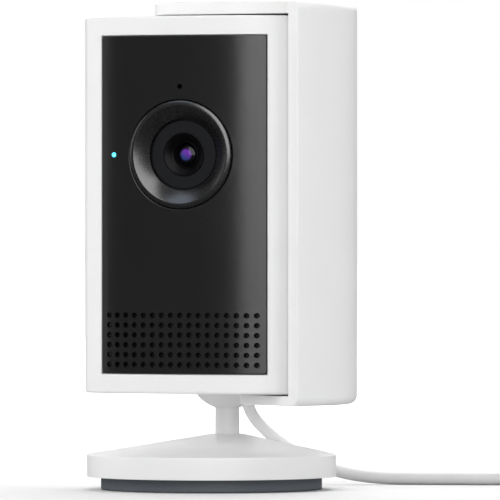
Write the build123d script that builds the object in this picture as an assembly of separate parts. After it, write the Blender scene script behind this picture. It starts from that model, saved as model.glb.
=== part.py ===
"""Security camera on a ball-jointed stand, with a privacy cover that swings round the head.

Millimetres. +Z is up, the front faces -Y, and the origin is the centre of the round base on its resting face.
The head's own axis and the cover's pivot are the Z axis; the ball joint sits behind it.
"""
import math
import os

from build123d import *

os.makedirs("parts", exist_ok=True)

# Stand
FOOT_R = 21.8
FOOT_TOP = 2.6
BASE_R = 24.55
RIM_TOP = 6.95
CONE_TOP = 10.75
NECK_Y = 8.85
NECK_R = 2.4
BASE_WALL = 1.5
PLATE_T = 1.2
STUD_R = 1.45
BALL_R = 7.65
BALL_Z = 23.2
BASE_SCREW_PCR = 17.0
BASE_SCREW_ANGLES = (30, 150, 270)

# Head
HEAD_R = 24.9
HEAD_BOTTOM = 19.15
HEAD_TOP = 93.0
HEAD_CORNER_X = 21.2
FRONT_Y = -17.45
FRONT_DROP = 1.667
FRONT_REF_X = 15.46
FRONT_POWER = 3.14
WALL = 1.6
FLOOR_TOP = 21.55
EDGE_R = 0.55
CORNER_R = 2.6
CLEARANCE = 0.1
RECESS_SLACK = 0.03
FACE_EDGE_R = 0.2

# Faceplate
PLATE_X = 17.2
PLATE_BOTTOM = 23.07
PLATE_TOP = 89.15
FACE_T = 1.5
HOLE_PITCH = 1.93
HOLE_R = 0.55
HOLE_COLUMNS = 17
HOLE_ROWS = 6
HOLE_BOTTOM_Z = 24.86
MIC_Z = 79.2
LED_X = -14.3

# Lens, on an axis along Y
LENS_Z = 65.9
LENS_HOLE_R = 10.73
LENS_RING_R = 10.6
CONE_R = 9.5
CONE_INNER_R = 7.0
DISC_INNER_R = 4.28
BOWL_R = 2.41
BARREL_R = 3.9

# Privacy cover
COVER_IN = 25.5
COVER_OUT = 28.73
COVER_BOTTOM = 16.9
COVER_TOP = 95.8
COVER_TOP_T = 2.45
COVER_FLOOR_T = 1.95
COVER_START = 56.3
COVER_SPAN = 97.4
HUB_R = 11.15
SHELF_IN = 9.64
COVER_EDGE_R = 1.7
COVER_SMALL_R = 0.3
GUIDE_R = 13.5
GUIDE_PIN_R = 0.8
PIVOT_R = 1.5

# Ball joint shells, concentric with the ball
SEAT_LIP_R = BALL_R + 0.07
LINER_IN = BALL_R + 0.05
LINER_OUT = 8.25
CUP_IN = 8.30
CUP_OUT = 8.85
SEAT_R = 8.9
BOSS_R = 9.7
BOSS_TOP = 33.0
EAR_R = 12.3

# Power lead
CORD_D = 2.4
PLUG_X = -0.9
PLUG_Y = 20.3
PLUG_BOTTOM = 20.4
COIL_X = 77.73
COIL_Y = 31.93
COIL_TURN = 20.9
COIL_R = 19.4
COIL_PITCH = 2.45
COIL_COLUMNS = 5
COIL_LAYERS = 4


# Plain shapes

def block(x0, x1, y0, y1, z0, z1):
    """Box between two corners."""
    return Pos((x0 + x1) / 2, (y0 + y1) / 2, (z0 + z1) / 2) * Box(x1 - x0, y1 - y0, z1 - z0)


def post(r, z0, z1, x=0, y=0):
    """Upright cylinder."""
    return Pos(x, y, (z0 + z1) / 2) * Cylinder(r, z1 - z0)


def rod(r, y0, y1, x=0, z=0):
    """Cylinder along Y."""
    return Pos(x, (y0 + y1) / 2, z) * Rot(90, 0, 0) * Cylinder(r, y1 - y0)


def polar(r, degrees, z=0):
    """Point at a radius and angle about Z, the angle from the front towards +X."""
    turn = math.radians(degrees - 90)
    return Vector(r * math.cos(turn), r * math.sin(turn), z)


def turned(profile, centre):
    """Solid of revolution about Z through centre, from (radius, height) points."""
    face = make_face(Polyline(*[(r, 0, z) for r, z in profile], close=True))
    return Pos(centre) * revolve(face, Axis.Z)


def lens_turned(profile):
    """Solid of revolution about the lens axis, from (radius, y) points."""
    face = make_face(Polyline(*[(r, y, 0) for r, y in profile], close=True))
    return Pos(0, 0, LENS_Z) * revolve(face, Axis.Y)


def shell(inner_r, outer_r, low_angle, high_angle):
    """Part of a spherical shell round the ball, between two angles from straight down."""
    a0 = math.radians(low_angle - 90)
    a1 = math.radians(high_angle - 90)
    mid = (a0 + a1) / 2

    def at(r, a):
        return (r * math.cos(a), 0, r * math.sin(a))

    edges = [
        ThreePointArc(at(outer_r, a0), at(outer_r, mid), at(outer_r, a1)),
        Line(at(outer_r, a1), at(inner_r, a1)),
        ThreePointArc(at(inner_r, a1), at(inner_r, mid), at(inner_r, a0)),
        Line(at(inner_r, a0), at(outer_r, a0)),
    ]
    return Pos(0, NECK_Y, BALL_Z) * revolve(make_face(edges), Axis.Z)


def ball(r):
    """Sphere about the ball joint's centre."""
    return Pos(0, NECK_Y, BALL_Z) * Sphere(r)


def sector(inner_r, outer_r, start, span, z0, z1):
    """Ring sector about Z, its angles from the front towards +X."""
    edges = [
        ThreePointArc(polar(outer_r, start), polar(outer_r, start + span / 2), polar(outer_r, start + span)),
        Line(polar(outer_r, start + span), polar(inner_r, start + span)),
        ThreePointArc(polar(inner_r, start + span), polar(inner_r, start + span / 2), polar(inner_r, start)),
        Line(polar(inner_r, start), polar(outer_r, start)),
    ]
    return Pos(0, 0, z0) * extrude(make_face(edges), z1 - z0)


# Shape of the head

def front_y(x):
    """The head's front: nearly flat in the middle and falling back towards the sides."""
    return FRONT_Y + FRONT_DROP * (abs(x) / FRONT_REF_X) ** FRONT_POWER


def front_curve(half_width, depth, end_y=None):
    """Spline along the front, a given depth behind it."""
    shares = (-1, -0.82, -0.6, -0.35, 0, 0.35, 0.6, 0.82, 1)
    points = [(half_width * s, front_y(half_width * s) + depth) for s in shares]
    if end_y is not None:
        points[0] = (-half_width, end_y)
        points[-1] = (half_width, end_y)
    return Spline(*points)


def head_outline(inset=0.0):
    """Plan of the head: a round back and the flattened front."""
    radius = HEAD_R - inset
    corner_x = HEAD_CORNER_X - 0.9 * inset
    corner_y = -math.sqrt(radius ** 2 - corner_x ** 2)
    front = front_curve(corner_x, inset, corner_y)
    back = ThreePointArc((corner_x, corner_y), (0, radius), (-corner_x, corner_y))
    return make_face([front, back])


def front_slab(half_width, z0, z1, depth0, depth1):
    """Curved plate that follows the front between two depths."""
    outer = front_curve(half_width, depth0)
    inner = front_curve(half_width, depth1)
    sides = [Line(outer @ 0, inner @ 0), Line(outer @ 1, inner @ 1)]
    return Pos(0, 0, z0) * extrude(make_face([outer, inner, *sides]), z1 - z0)


def front_block(half_width, z0, z1, depth, back_y):
    """Solid with a front that follows the head's and a flat back."""
    outer = front_curve(half_width, depth)
    frame = Polyline(outer @ 0, (-half_width, back_y), (half_width, back_y), outer @ 1)
    return Pos(0, 0, z0) * extrude(make_face([outer, frame]), z1 - z0)


# Stand

def base_screw_places():
    """Plan positions of the screws that close the base."""
    return [polar(BASE_SCREW_PCR, a) for a in BASE_SCREW_ANGLES]


def oblique_cone(r0, z0, r1, z1):
    """Cone that leans from the base's centre to the neck."""
    low = Pos(0, 0, z0) * Circle(r0)
    high = Pos(0, NECK_Y, z1) * Circle(r1)
    return loft([low, high], ruled=True)


def foot_pad():
    """Rubber foot with a fine groove round its underside."""
    pad = fillet(post(FOOT_R, 0, FOOT_TOP).edges().group_by(Axis.Z)[0], 0.4)
    groove = post(FOOT_R - 3.0, 0, 0.3) - post(FOOT_R - 3.8, 0, 0.3)
    return pad - groove


def base_plate():
    """Plate that closes the base cover, with countersunk screw holes."""
    plate = post(BASE_R - BASE_WALL - CLEARANCE, FOOT_TOP, FOOT_TOP + PLATE_T)
    for place in base_screw_places():
        plate -= post(2.0, FOOT_TOP, FOOT_TOP + 0.8, place.X, place.Y)
        plate -= post(1.0, FOOT_TOP, FOOT_TOP + PLATE_T, place.X, place.Y)
    return plate


def base_cover():
    """Round rim and leaning cone, hollow, with three screw bosses."""
    rim = post(BASE_R, FOOT_TOP, RIM_TOP)
    outside = rim + oblique_cone(BASE_R, RIM_TOP, NECK_R + 0.7, CONE_TOP)
    rim_edge = [e for e in outside.edges() if abs(e.center().Z - RIM_TOP) < 0.01]
    outside = fillet(rim_edge, 0.35)
    inside = post(BASE_R - BASE_WALL, FOOT_TOP, RIM_TOP - 0.9)
    inside += oblique_cone(BASE_R - BASE_WALL, RIM_TOP - 0.9, NECK_R + 2, CONE_TOP - 1.6)
    bosses = Part() + [post(2.2, FOOT_TOP + PLATE_T, CONE_TOP, p.X, p.Y) for p in base_screw_places()]
    cover = outside - inside + (bosses & outside)
    for place in base_screw_places():
        cover -= post(0.95, FOOT_TOP, RIM_TOP - 0.6, place.X, place.Y)
    return cover - post(STUD_R + 0.1, RIM_TOP, CONE_TOP, 0, NECK_Y)


def base_weight():
    """Steel ballast disc with room for the screw bosses and the neck's nut."""
    disc = post(BASE_R - BASE_WALL - 1.0, FOOT_TOP + PLATE_T, RIM_TOP - 1.1)
    disc -= post(4.6, FOOT_TOP, RIM_TOP, 0, NECK_Y)
    for place in base_screw_places():
        disc -= post(2.5, FOOT_TOP, RIM_TOP, place.X, place.Y)
    return disc


def base_screws():
    """Three screws from below, each in its boss."""
    screws = []
    for place in base_screw_places():
        head = post(1.9, FOOT_TOP + 0.05, FOOT_TOP + 0.75, place.X, place.Y)
        screws.append(head + post(0.9, FOOT_TOP + 0.7, RIM_TOP - 0.8, place.X, place.Y))
    return screws


def neck_post():
    """Thin sleeve that carries the ball."""
    tube = post(NECK_R, CONE_TOP, BALL_Z, 0, NECK_Y) - ball(BALL_R)
    tube = max(tube.solids(), key=lambda s: s.volume)
    return tube - post(STUD_R + 0.1, CONE_TOP, BALL_Z, 0, NECK_Y)


def joint_ball():
    """Ball with a blind bore for the stud and a flat on top."""
    solid = ball(BALL_R) - post(BALL_R, BALL_Z + 7.0, BALL_Z + BALL_R, 0, NECK_Y)
    return solid - post(STUD_R, BALL_Z - BALL_R, BALL_Z + 4.0, 0, NECK_Y)


def neck_stud():
    """Steel stud from the nut in the base up into the ball."""
    return post(STUD_R, FOOT_TOP + 2.2, BALL_Z + 3.8, 0, NECK_Y)


def neck_nut():
    """Nut that pulls the neck down on the base cover."""
    hexagon = extrude(RegularPolygon(3.0, 6, major_radius=False), 2.2)
    return Pos(0, NECK_Y, CONE_TOP - 1.6 - 2.3) * hexagon - post(STUD_R, FOOT_TOP, CONE_TOP, 0, NECK_Y)


# Ball joint inside the head

def ear_places():
    """Plan positions of the clamp screws, to either side of the ball and in front of it."""
    return [(EAR_R, NECK_Y), (-EAR_R, NECK_Y), (0, NECK_Y - EAR_R)]


def socket_seat():
    """Upright sleeve round the ball, open at the top so that the ball's shells go in."""
    cavity = ball(SEAT_R) + post(SEAT_R, BALL_Z, BOSS_TOP, 0, NECK_Y)
    return post(BOSS_R, FLOOR_TOP, BOSS_TOP, 0, NECK_Y) - cavity


def clamp_plate():
    """Plate over the socket with three ears."""
    z0, z1 = BOSS_TOP, BOSS_TOP + 1.2
    plate = post(BOSS_R, z0, z1, 0, NECK_Y)
    for x, y in ear_places():
        plate += post(2.2, z0, z1, x, y)
    for x, y in ear_places():
        plate -= post(0.95, z0, z1, x, y)
    return plate - post(2.2, z0, z1, 0, NECK_Y)


def clamp_screws():
    """Three screws that hold the clamp plate on its pillars."""
    screws = []
    for x, y in ear_places():
        shank = post(0.85, BOSS_TOP - 5, BOSS_TOP + 1.2, x, y)
        screws.append(shank + post(1.7, BOSS_TOP + 1.2, BOSS_TOP + 2.3, x, y))
    return screws


def cup_spring():
    """Flat spring ring between the pressure cup and the clamp plate."""
    low = BALL_Z + CUP_OUT + 0.12
    return post(6.0, low, BOSS_TOP, 0, NECK_Y) - post(3.2, low, BOSS_TOP, 0, NECK_Y)


# Head shells

def front_housing():
    """White body of the head: front frame, sides, top and floor."""
    body = Pos(0, 0, HEAD_BOTTOM) * extrude(head_outline(), HEAD_TOP - HEAD_BOTTOM)
    corners = [e for e in body.edges().filter_by(Axis.Z) if abs(abs(e.center().X) - HEAD_CORNER_X) < 0.5]
    body = fillet(corners, CORNER_R)
    rims = body.edges().group_by(Axis.Z)
    body = fillet(rims[0] + rims[-1], EDGE_R)
    body -= Pos(0, 0, FLOOR_TOP) * extrude(head_outline(WALL), HEAD_TOP - WALL - FLOOR_TOP)
    for x, y in ear_places():
        body += post(2.2, FLOOR_TOP, BOSS_TOP, x, y) - post(BOSS_R + 0.05, FLOOR_TOP, BOSS_TOP, 0, NECK_Y)
    for x, y in ear_places():
        body -= post(0.9, FLOOR_TOP + 1, BOSS_TOP, x, y)
    body -= face_opening()
    body = fillet(recess_edges(body), FACE_EDGE_R)
    body -= rear_opening()
    lip = ball(SEAT_LIP_R)
    body -= lip + (ball(SEAT_R) - post(HEAD_R, 0, HEAD_BOTTOM + 0.6))
    body -= block(PLUG_X - 3.4, PLUG_X + 3.4, PLUG_Y - 2.0, PLUG_Y + 2.0, HEAD_BOTTOM, FLOOR_TOP)
    body -= post(3.0, HEAD_TOP - WALL, HEAD_TOP)
    low, high = GUIDE_R - GUIDE_PIN_R - 0.3, GUIDE_R + GUIDE_PIN_R + 0.3
    middle = COVER_START + COVER_SPAN / 2
    return body - sector(low, high, -5, middle + 10, HEAD_BOTTOM, HEAD_BOTTOM + 1.6)


def face_opening():
    """Recess that the faceplate lies in, and the smaller window behind it."""
    edge = CLEARANCE
    depth = FACE_T + RECESS_SLACK
    recess = front_slab(PLATE_X + edge, PLATE_BOTTOM - edge, PLATE_TOP + edge, -1.0, depth)
    window = block(1.3 - PLATE_X, PLATE_X - 1.3, FRONT_Y - 1, FRONT_Y + 8, PLATE_BOTTOM + 1.3, PLATE_TOP - 1.3)
    return recess + window


def recess_edges(body):
    """Front edges of the recess."""
    found = []
    for e in body.edges():
        c = e.center()
        at_side = abs(abs(c.X) - PLATE_X - CLEARANCE) < 0.05 and abs(c.Y - front_y(c.X)) < 0.03
        at_end = min(abs(c.Z - PLATE_BOTTOM), abs(c.Z - PLATE_TOP)) < 0.2 and abs(c.Y - FRONT_Y) < 0.05
        if at_side or at_end:
            found.append(e)
    return found


def rear_opening():
    """Opening in the back wall for the rear cover."""
    return block(-15, 15, 12, HEAD_R + 1, 24, 88)


def rear_cover():
    """Curved panel that closes the back, with an inner rim."""
    outer = post(HEAD_R, 24 + CLEARANCE, 88 - CLEARANCE)
    panel = outer & block(-15 + CLEARANCE, 15 - CLEARANCE, 12, HEAD_R + 1, 24, 88)
    rim = post(HEAD_R - WALL - 0.1, 22.6, 89.4) & block(-16.5, 16.5, 12, HEAD_R, 22.6, 89.4)
    cover = panel + rim - post(HEAD_R - WALL - 1.1, 22, 90)
    cover -= rod(2.75, 15, HEAD_R + 1, z=80)
    return cover - block(PLUG_X - 3.4, PLUG_X + 3.4, 15, 23, 22, 32)


def on_front(edge):
    """Whether both ends and the middle of an edge lie on the head's front."""
    spots = (edge @ 0, edge @ 1, edge.center())
    return all(abs(p.Y - front_y(p.X)) < 0.03 for p in spots)


def faceplate():
    """Black front with its lens opening, speaker holes, microphone hole and light hole."""
    plate = front_slab(PLATE_X, PLATE_BOTTOM, PLATE_TOP, 0, FACE_T)
    corners = []
    for e in plate.edges():
        c = e.center()
        at_side = abs(abs(c.X) - PLATE_X) < 0.01
        at_end = min(abs(c.Z - PLATE_BOTTOM), abs(c.Z - PLATE_TOP)) < 0.01
        if at_side and at_end and e.length < 3:
            corners.append(e)
    plate = fillet(corners, 0.6)
    plate -= rod(LENS_HOLE_R, FRONT_Y - 1, FRONT_Y + 5, z=LENS_Z)
    plate = fillet([e for e in plate.edges() if e.length > 5 and on_front(e)], FACE_EDGE_R)
    plate -= rod(0.5, FRONT_Y - 1, FRONT_Y + 5, z=MIC_Z)
    plate -= rod(0.5, FRONT_Y - 1, FRONT_Y + 5, x=LED_X, z=LENS_Z)
    return plate - speaker_holes()


def speaker_holes():
    """Grid of round holes in front of the speaker."""
    middle = HOLE_BOTTOM_Z + HOLE_PITCH * (HOLE_ROWS - 1) / 2
    grid = GridLocations(HOLE_PITCH, HOLE_PITCH, HOLE_COLUMNS, HOLE_ROWS)
    holes = [spot * Cylinder(HOLE_R, 7) for spot in grid]
    return [Pos(0, FRONT_Y + 1, middle) * Rot(90, 0, 0) * hole for hole in holes]


# Lens and camera module

def lens_ring():
    """Outer ring: a bright lip and a dished cone, with a flange behind the faceplate."""
    flange_r, flange_y, back_y = 11.6, -15.2, -14.6
    lip_y = FRONT_Y - 0.2
    profile = [
        (CONE_INNER_R, back_y),
        (flange_r, back_y),
        (flange_r, flange_y),
        (LENS_RING_R, flange_y),
        (LENS_RING_R, lip_y + 0.25),
        (LENS_RING_R - 0.2, lip_y),
        (CONE_R + 0.25, lip_y),
        (CONE_R, lip_y + 0.15),
        (CONE_INNER_R, FRONT_Y + 1.85),
    ]
    return lens_turned(profile)


def lens_disc():
    """Flat dark disc round the lens."""
    r = CONE_INNER_R - 0.06
    return lens_turned([(DISC_INNER_R, -15.1), (r, -15.1), (r, -14.4), (DISC_INNER_R, -14.4)])


def lens_bowl():
    """Small bowl that narrows to the lens."""
    rim_r, back_y = DISC_INNER_R - 0.03, -13.6
    points = [(rim_r, -15.1), (rim_r, back_y), (BOWL_R, back_y), (BOWL_R, -14.1), (DISC_INNER_R - 0.25, -15.1)]
    return lens_turned(points)


def lens_barrel():
    """Tube that holds the lenses."""
    front, back = -13.6, -5.5
    return lens_turned([(BOWL_R, front), (BARREL_R, front), (BARREL_R, back), (BOWL_R, back)])


def front_lens():
    """Domed first lens."""
    r, rim_y, apex_y = BOWL_R - 0.04, -13.3, -13.95
    dome = ThreePointArc((0, apex_y), (r * 0.55, apex_y + 0.2), (r, rim_y))
    sides = Polyline((r, rim_y), (r, -12.6), (0, -12.6), (0, apex_y))
    return Pos(0, 0, LENS_Z) * revolve(make_face([dome, sides]), Axis.Y)


def rear_lenses():
    """Three lenses further down the barrel."""
    r = BOWL_R - 0.04
    return [rod(r, y, y + 1.1, z=LENS_Z) for y in (-11.8, -9.6, -7.2)]


def lens_holder():
    """Square block that joins the barrel to the sensor board."""
    half = 4.9
    holder = block(-half, half, -9.0, -3.1, LENS_Z - half, LENS_Z + half)
    holder -= rod(BARREL_R, -9.0, -5.5, z=LENS_Z)
    holder -= rod(2.6, -5.5, -4.9, z=LENS_Z)
    return holder - block(-3.6, 3.6, -4.9, -3.1, LENS_Z - 3.6, LENS_Z + 3.6)


def plate_at(half_x, half_z, y0, y1, z, x=0):
    """Upright plate about a point, for chips, boards and filters."""
    return block(x - half_x, x + half_x, y0, y1, z - half_z, z + half_z)


def sensor_board():
    """Small board behind the lens holder."""
    return plate_at(7.5, 7.5, -3.1, -2.2, LENS_Z)


def flex_cable():
    """Flat cable from the sensor board down to the main board."""
    y_front, y_back, thick = -2.2, 2.0, 0.25
    low, high = 54.0, 60.5
    outer = block(-4, 4, y_front, y_back, low, high)
    return outer - block(-5, 5, y_front + thick, y_back - thick, low + thick, high + 1)


def front_board():
    """Board round the lens for the infrared lights, status light and microphone."""
    board = plate_at(15.6, 17.5, -12.4, -11.6, 68)
    return board - rod(8.9, -12.4, -11.6, z=LENS_Z)


def infrared_lights():
    """Four infrared lights behind the faceplate's corners."""
    places = [(x, z) for x in (-12.0, 12.0) for z in (54.5, 77.3)]
    return [plate_at(1.5, 1.5, -13.6, -12.4, z, x) for x, z in places]


def status_light():
    """Status light on the front board."""
    return plate_at(0.9, 0.9, -13.2, -12.4, LENS_Z, LED_X)


def light_pipe():
    """Clear pin that brings the status light to the front."""
    front = front_y(LED_X)
    return rod(0.45, front, -13.9, x=LED_X, z=LENS_Z) + rod(0.8, -13.9, -13.25, x=LED_X, z=LENS_Z)


def microphone():
    """Microphone can on the front board."""
    return plate_at(1.75, 1.4, -13.5, -12.4, MIC_Z)


def microphone_gasket():
    """Rubber tube from the microphone hole to the microphone."""
    return rod(1.5, FRONT_Y + FACE_T + 0.05, -13.5, z=MIC_Z) - rod(0.5, FRONT_Y, -13.5, z=MIC_Z)


# Speaker

def speaker_mesh():
    """Fine mesh behind the speaker holes."""
    return front_slab(15.9, 24.5, 36.0, FACE_T + 0.02, FACE_T + 0.22)


def speaker_gasket():
    """Foam frame between the mesh and the speaker."""
    frame = front_block(15.4, 24.5, 36.0, FACE_T + 0.24, -13.2)
    return frame - block(-13, 13, FRONT_Y, -13.2, 26.2, 34.3)


def speaker():
    """Flat box speaker with an oval cone opening."""
    box = block(-14.5, 14.5, -13.2, -7.5, 24.8, 35.7)
    mouth = extrude(SlotOverall(23, 7.6), 2.0)
    return fillet(box.edges().filter_by(Axis.Y), 0.8) - Pos(0, -11.2, 30.25) * Rot(90, 0, 0) * mouth


def speaker_cone():
    """Oval speaker cone with its roll surround."""
    disc = extrude(SlotOverall(22.6, 7.2), 0.6)
    dome = extrude(SlotOverall(16, 4.0), 0.5)
    return Pos(0, -11.3, 30.25) * Rot(90, 0, 0) * (disc + Pos(0, 0, 0.6) * dome)


# Boards behind the camera module

def main_board():
    """Main board with its four screw holes."""
    board = plate_at(17.5, 25, 2.0, 3.2, 62)
    for x, z in board_screw_places():
        board -= rod(1.1, 2.0, 3.2, x, z)
    return board


def board_screw_places():
    """Corners of the main board."""
    return [(x, z) for x in (-15.2, 15.2) for z in (39.5, 84.5)]


def board_screws():
    """Four screws through the main board."""
    return [rod(1.0, 0.9, 6.0, x, z) + rod(1.8, 0.8, 2.0, x, z) for x, z in board_screw_places()]


def processor():
    """Processor and memory chips on the front of the main board."""
    return [plate_at(5.5, 5.5, 0.7, 2.0, 46), plate_at(4, 5, 0.9, 2.0, 76, 5)]


def shield_can():
    """Metal lid over the power and radio chips on the back of the board."""
    can = plate_at(13, 12, 3.2, 5.6, 52)
    return can - plate_at(12.7, 11.7, 3.2, 5.3, 52)


def heat_spreader():
    """Aluminium plate with upright ribs behind the shield can."""
    plate = plate_at(14, 17, 5.7, 6.7, 56)
    for x in range(-12, 13, 4):
        plate += plate_at(0.5, 17, 6.7, 9.5, 56, x)
    return plate


def radio_module():
    """Radio module at the top of the main board."""
    return plate_at(7, 5, 3.2, 5.0, 81)


def antenna():
    """Thin antenna board against the left wall."""
    return block(-20.2, -19.4, -6, 6, 62, 86)


def hall_sensor():
    """Sensor under the head's top that notices the closed cover's magnet."""
    return block(-3.4, 0.6, -14.2, -11.7, 90.0, 91.2)


# Setup button

def setup_button():
    """Round button through the rear cover."""
    cap = fillet(rod(2.6, 21.9, HEAD_R + 0.35, z=80).edges().group_by(Axis.Y)[-1], 0.4)
    return cap + rod(3.3, 21.1, 21.95, z=80)


def button_board():
    """Small board that carries the button's switch."""
    return plate_at(7, 7, 17.6, 18.6, 80)


def tact_switch():
    """Switch that the button presses."""
    return plate_at(2.2, 2.2, 18.6, 20.0, 80) + rod(1.1, 19.9, 20.6, z=80)


# Privacy cover

def hub_plate():
    """Top of the cover: a round hub with straight edges out to the wall's ends."""
    z0 = COVER_TOP - COVER_TOP_T
    reach = math.degrees(math.acos(HUB_R / COVER_IN))
    end = COVER_START + COVER_SPAN
    spots = [
        polar(COVER_IN, COVER_START),
        polar(HUB_R, COVER_START - reach),
        polar(HUB_R, end + reach),
        polar(COVER_IN, end),
    ]
    rim = polar(COVER_IN, COVER_START + COVER_SPAN / 2)
    opposite = polar(HUB_R, COVER_START + COVER_SPAN / 2 + 180)
    edges = [
        Line(spots[0], spots[1]),
        ThreePointArc(spots[1], opposite, spots[2]),
        Line(spots[2], spots[3]),
        ThreePointArc(spots[3], rim, spots[0]),
    ]
    return Pos(0, 0, z0) * extrude(make_face(edges), COVER_TOP_T)


def cover_shell():
    """White curved shell with its top plate, bottom shelf and guide pin."""
    wall = sector(COVER_IN, COVER_OUT, COVER_START, COVER_SPAN, COVER_BOTTOM, COVER_TOP)
    outer = []
    for e in wall.edges():
        c = e.center()
        at_end = min(abs(c.Z - COVER_BOTTOM), abs(c.Z - COVER_TOP)) < 0.01
        if at_end and e.length > COVER_OUT * 1.5 and abs(e.radius - COVER_OUT) < 0.01:
            outer.append(e)
    wall = fillet(outer, COVER_EDGE_R)
    shelf = sector(SHELF_IN, COVER_IN, COVER_START, COVER_SPAN, COVER_BOTTOM, COVER_BOTTOM + COVER_FLOOR_T)
    shelf -= post(7.0, COVER_BOTTOM, COVER_BOTTOM + COVER_FLOOR_T, 0, NECK_Y)
    cover = wall + hub_plate() + shelf
    cover = fillet(end_edges(cover) + plate_edges(cover, COVER_TOP), COVER_SMALL_R)
    cover = fillet(plate_edges(cover, COVER_TOP - COVER_TOP_T), COVER_SMALL_R - 0.05)
    guide = polar(GUIDE_R, COVER_START + COVER_SPAN / 2)
    cover += post(GUIDE_PIN_R, COVER_BOTTOM + 1, HEAD_BOTTOM + 1.3, guide.X, guide.Y)
    magnet = magnet_place()
    top_face = COVER_TOP - COVER_TOP_T
    cover -= post(1.8, top_face, top_face + 1.3, magnet.X, magnet.Y)
    return cover - post(PIVOT_R, top_face, top_face + 1.55)


def plate_edges(cover, level):
    """Edges of the cover's top plate at one level."""
    found = []
    for e in cover.edges():
        c = e.center()
        if abs(c.Z - level) < 0.01 and PIVOT_R < math.hypot(c.X, c.Y) < COVER_IN - 1:
            found.append(e)
    return found


def end_edges(cover):
    """Edges round the two ends of the cover's wall and below its shelf."""
    found = []
    for e in cover.edges():
        c = e.center()
        r = math.hypot(c.X, c.Y)
        angle = math.degrees(math.atan2(c.Y, c.X)) + 90
        at_end = min(abs(angle - a) for a in (COVER_START, COVER_START + COVER_SPAN)) < 0.05
        if at_end and (r > COVER_IN + 0.1 or c.Z < COVER_BOTTOM + 0.6 or e.length > 50):
            found.append(e)
    return found


def magnet_place():
    """Plan position of the magnet in the open cover."""
    return polar(13.0, COVER_START + COVER_SPAN / 2)


def cover_magnet():
    """Disc magnet in a pocket under the cover's top plate."""
    place = magnet_place()
    top_face = COVER_TOP - COVER_TOP_T
    return post(1.8, top_face + 0.1, top_face + 1.3, place.X, place.Y)


def pivot_pin():
    """Steel pin that the cover turns on."""
    top_face = COVER_TOP - COVER_TOP_T
    return post(PIVOT_R, 88.3, top_face + 1.55) - (post(PIVOT_R, 88.7, 89.2) - post(1.2, 88.7, 89.2))


def pin_clip():
    """Clip in the pin's groove under the bush."""
    return post(3.0, 88.75, 89.15) - post(1.2, 88.75, 89.15) - block(-0.8, 0.8, 0, 4, 88, 90)


def pivot_bush():
    """Plastic bush in the head's top that the pin runs in."""
    bush = post(3.0, 89.4, HEAD_TOP) + post(4.5, 89.4, HEAD_TOP - WALL)
    return bush - post(PIVOT_R + 0.06, 89.4, HEAD_TOP)


def friction_washer():
    """Thin washer between the head and the cover's hub."""
    return post(5.0, HEAD_TOP + 0.03, HEAD_TOP + 0.3) - post(1.9, HEAD_TOP, HEAD_TOP + 0.3)


# Power lead

def cord_route():
    """Points of the lead from its strain relief to the coil, chosen by hand."""
    floor = CORD_D / 2
    return [
        (-0.6, 21.2, 17.3),
        (-0.4, 21.85, 15.6),
        (0.52, 23.1, 13.2),
        (2.44, 25.65, 10.4),
        (5.42, 28.5, 7.4),
        (9.7, 31.3, 4.5),
        (15.43, 33.7, 2.2),
        (22.63, 35.55, floor + 0.02),
        (31.13, 37.4, floor),
        (40.5, 39.75, floor),
        (50.6, 42.75, floor),
        (61.0, 46.35, floor),
        (70.8, 50.05, floor),
    ]


def coil_point(r, degrees, z):
    """Point about the coil's centre."""
    turn = math.radians(degrees + COIL_TURN)
    return (COIL_X + r * math.cos(turn), COIL_Y + r * math.sin(turn), z)


def tail_route():
    """Points of the lead from the top of the coil down to the plug, chosen by hand."""
    floor = CORD_D / 2
    axis_z = 3.7
    start = coil_point(23.0, -34, floor)
    turn = math.radians(COIL_TURN - 34)
    ahead = (math.sin(turn), -math.cos(turn))
    route = [
        coil_point(19.6, 102, 8.6),
        coil_point(21.6, 76, 8.3),
        coil_point(23.3, 48, 6.6),
        coil_point(23.5, 20, 4.2),
        coil_point(23.3, -8, 2.0),
        start,
    ]
    for distance, z in ((5.5, floor + 0.5), (10.5, axis_z - 0.9), (15.5, axis_z)):
        route.append((start[0] + distance * ahead[0], start[1] + distance * ahead[1], z))
    return route


def cord_tube(name, route):
    """Tube along straight runs joined by arcs as large as the runs allow."""
    points = [Vector(*p) for p in route]
    runs = [b - a for a, b in zip(points, points[1:])]
    radii = []
    for before, after in zip(runs, runs[1:]):
        half_turn = math.radians(before.get_angle(after)) / 2
        radii.append(0.45 * min(before.length, after.length) / math.tan(half_turn))
    path = FilletPolyline(*points, radius=radii)
    print(name, "length", round(path.length, 1), "radii", [round(r, 1) for r in radii])
    start = Plane(origin=points[0], z_dir=runs[0])
    return sweep(start * Circle(CORD_D / 2), path=path)


def cord_coil():
    """Outer shape of the wound part of the lead."""
    outer = COIL_R + CORD_D / 2 + 0.15
    inner = COIL_R - (COIL_COLUMNS - 1) * COIL_PITCH - CORD_D / 2 - 0.15
    top = CORD_D + (COIL_LAYERS - 1) * COIL_PITCH + 0.1
    ring = post(outer, 0, top, COIL_X, COIL_Y) - post(inner, 0, top, COIL_X, COIL_Y)
    return fillet(ring.edges().group_by(Axis.Z)[-1], 0.8)


def power_plug():
    """Overmoulded head-end plug with its tapered strain relief."""
    body = block(PLUG_X - 3.1, PLUG_X + 3.1, PLUG_Y - 1.6, PLUG_Y + 1.6, PLUG_BOTTOM, 26)
    body = fillet(body.edges().filter_by(Axis.Z), 1.2)
    end, ahead = [Vector(*p) for p in cord_route()[:2]]
    relief = turned([(0, 0), (1.3, 0), (1.6, 3.5), (0, 3.5)], (0, 0, 0))
    return body + Plane(origin=end, z_dir=end - ahead) * relief


def power_plug_shell():
    """Metal nose of the head-end plug."""
    return block(PLUG_X - 2.7, PLUG_X + 2.7, PLUG_Y - 0.8, PLUG_Y + 0.8, 26, 29.4)


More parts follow.
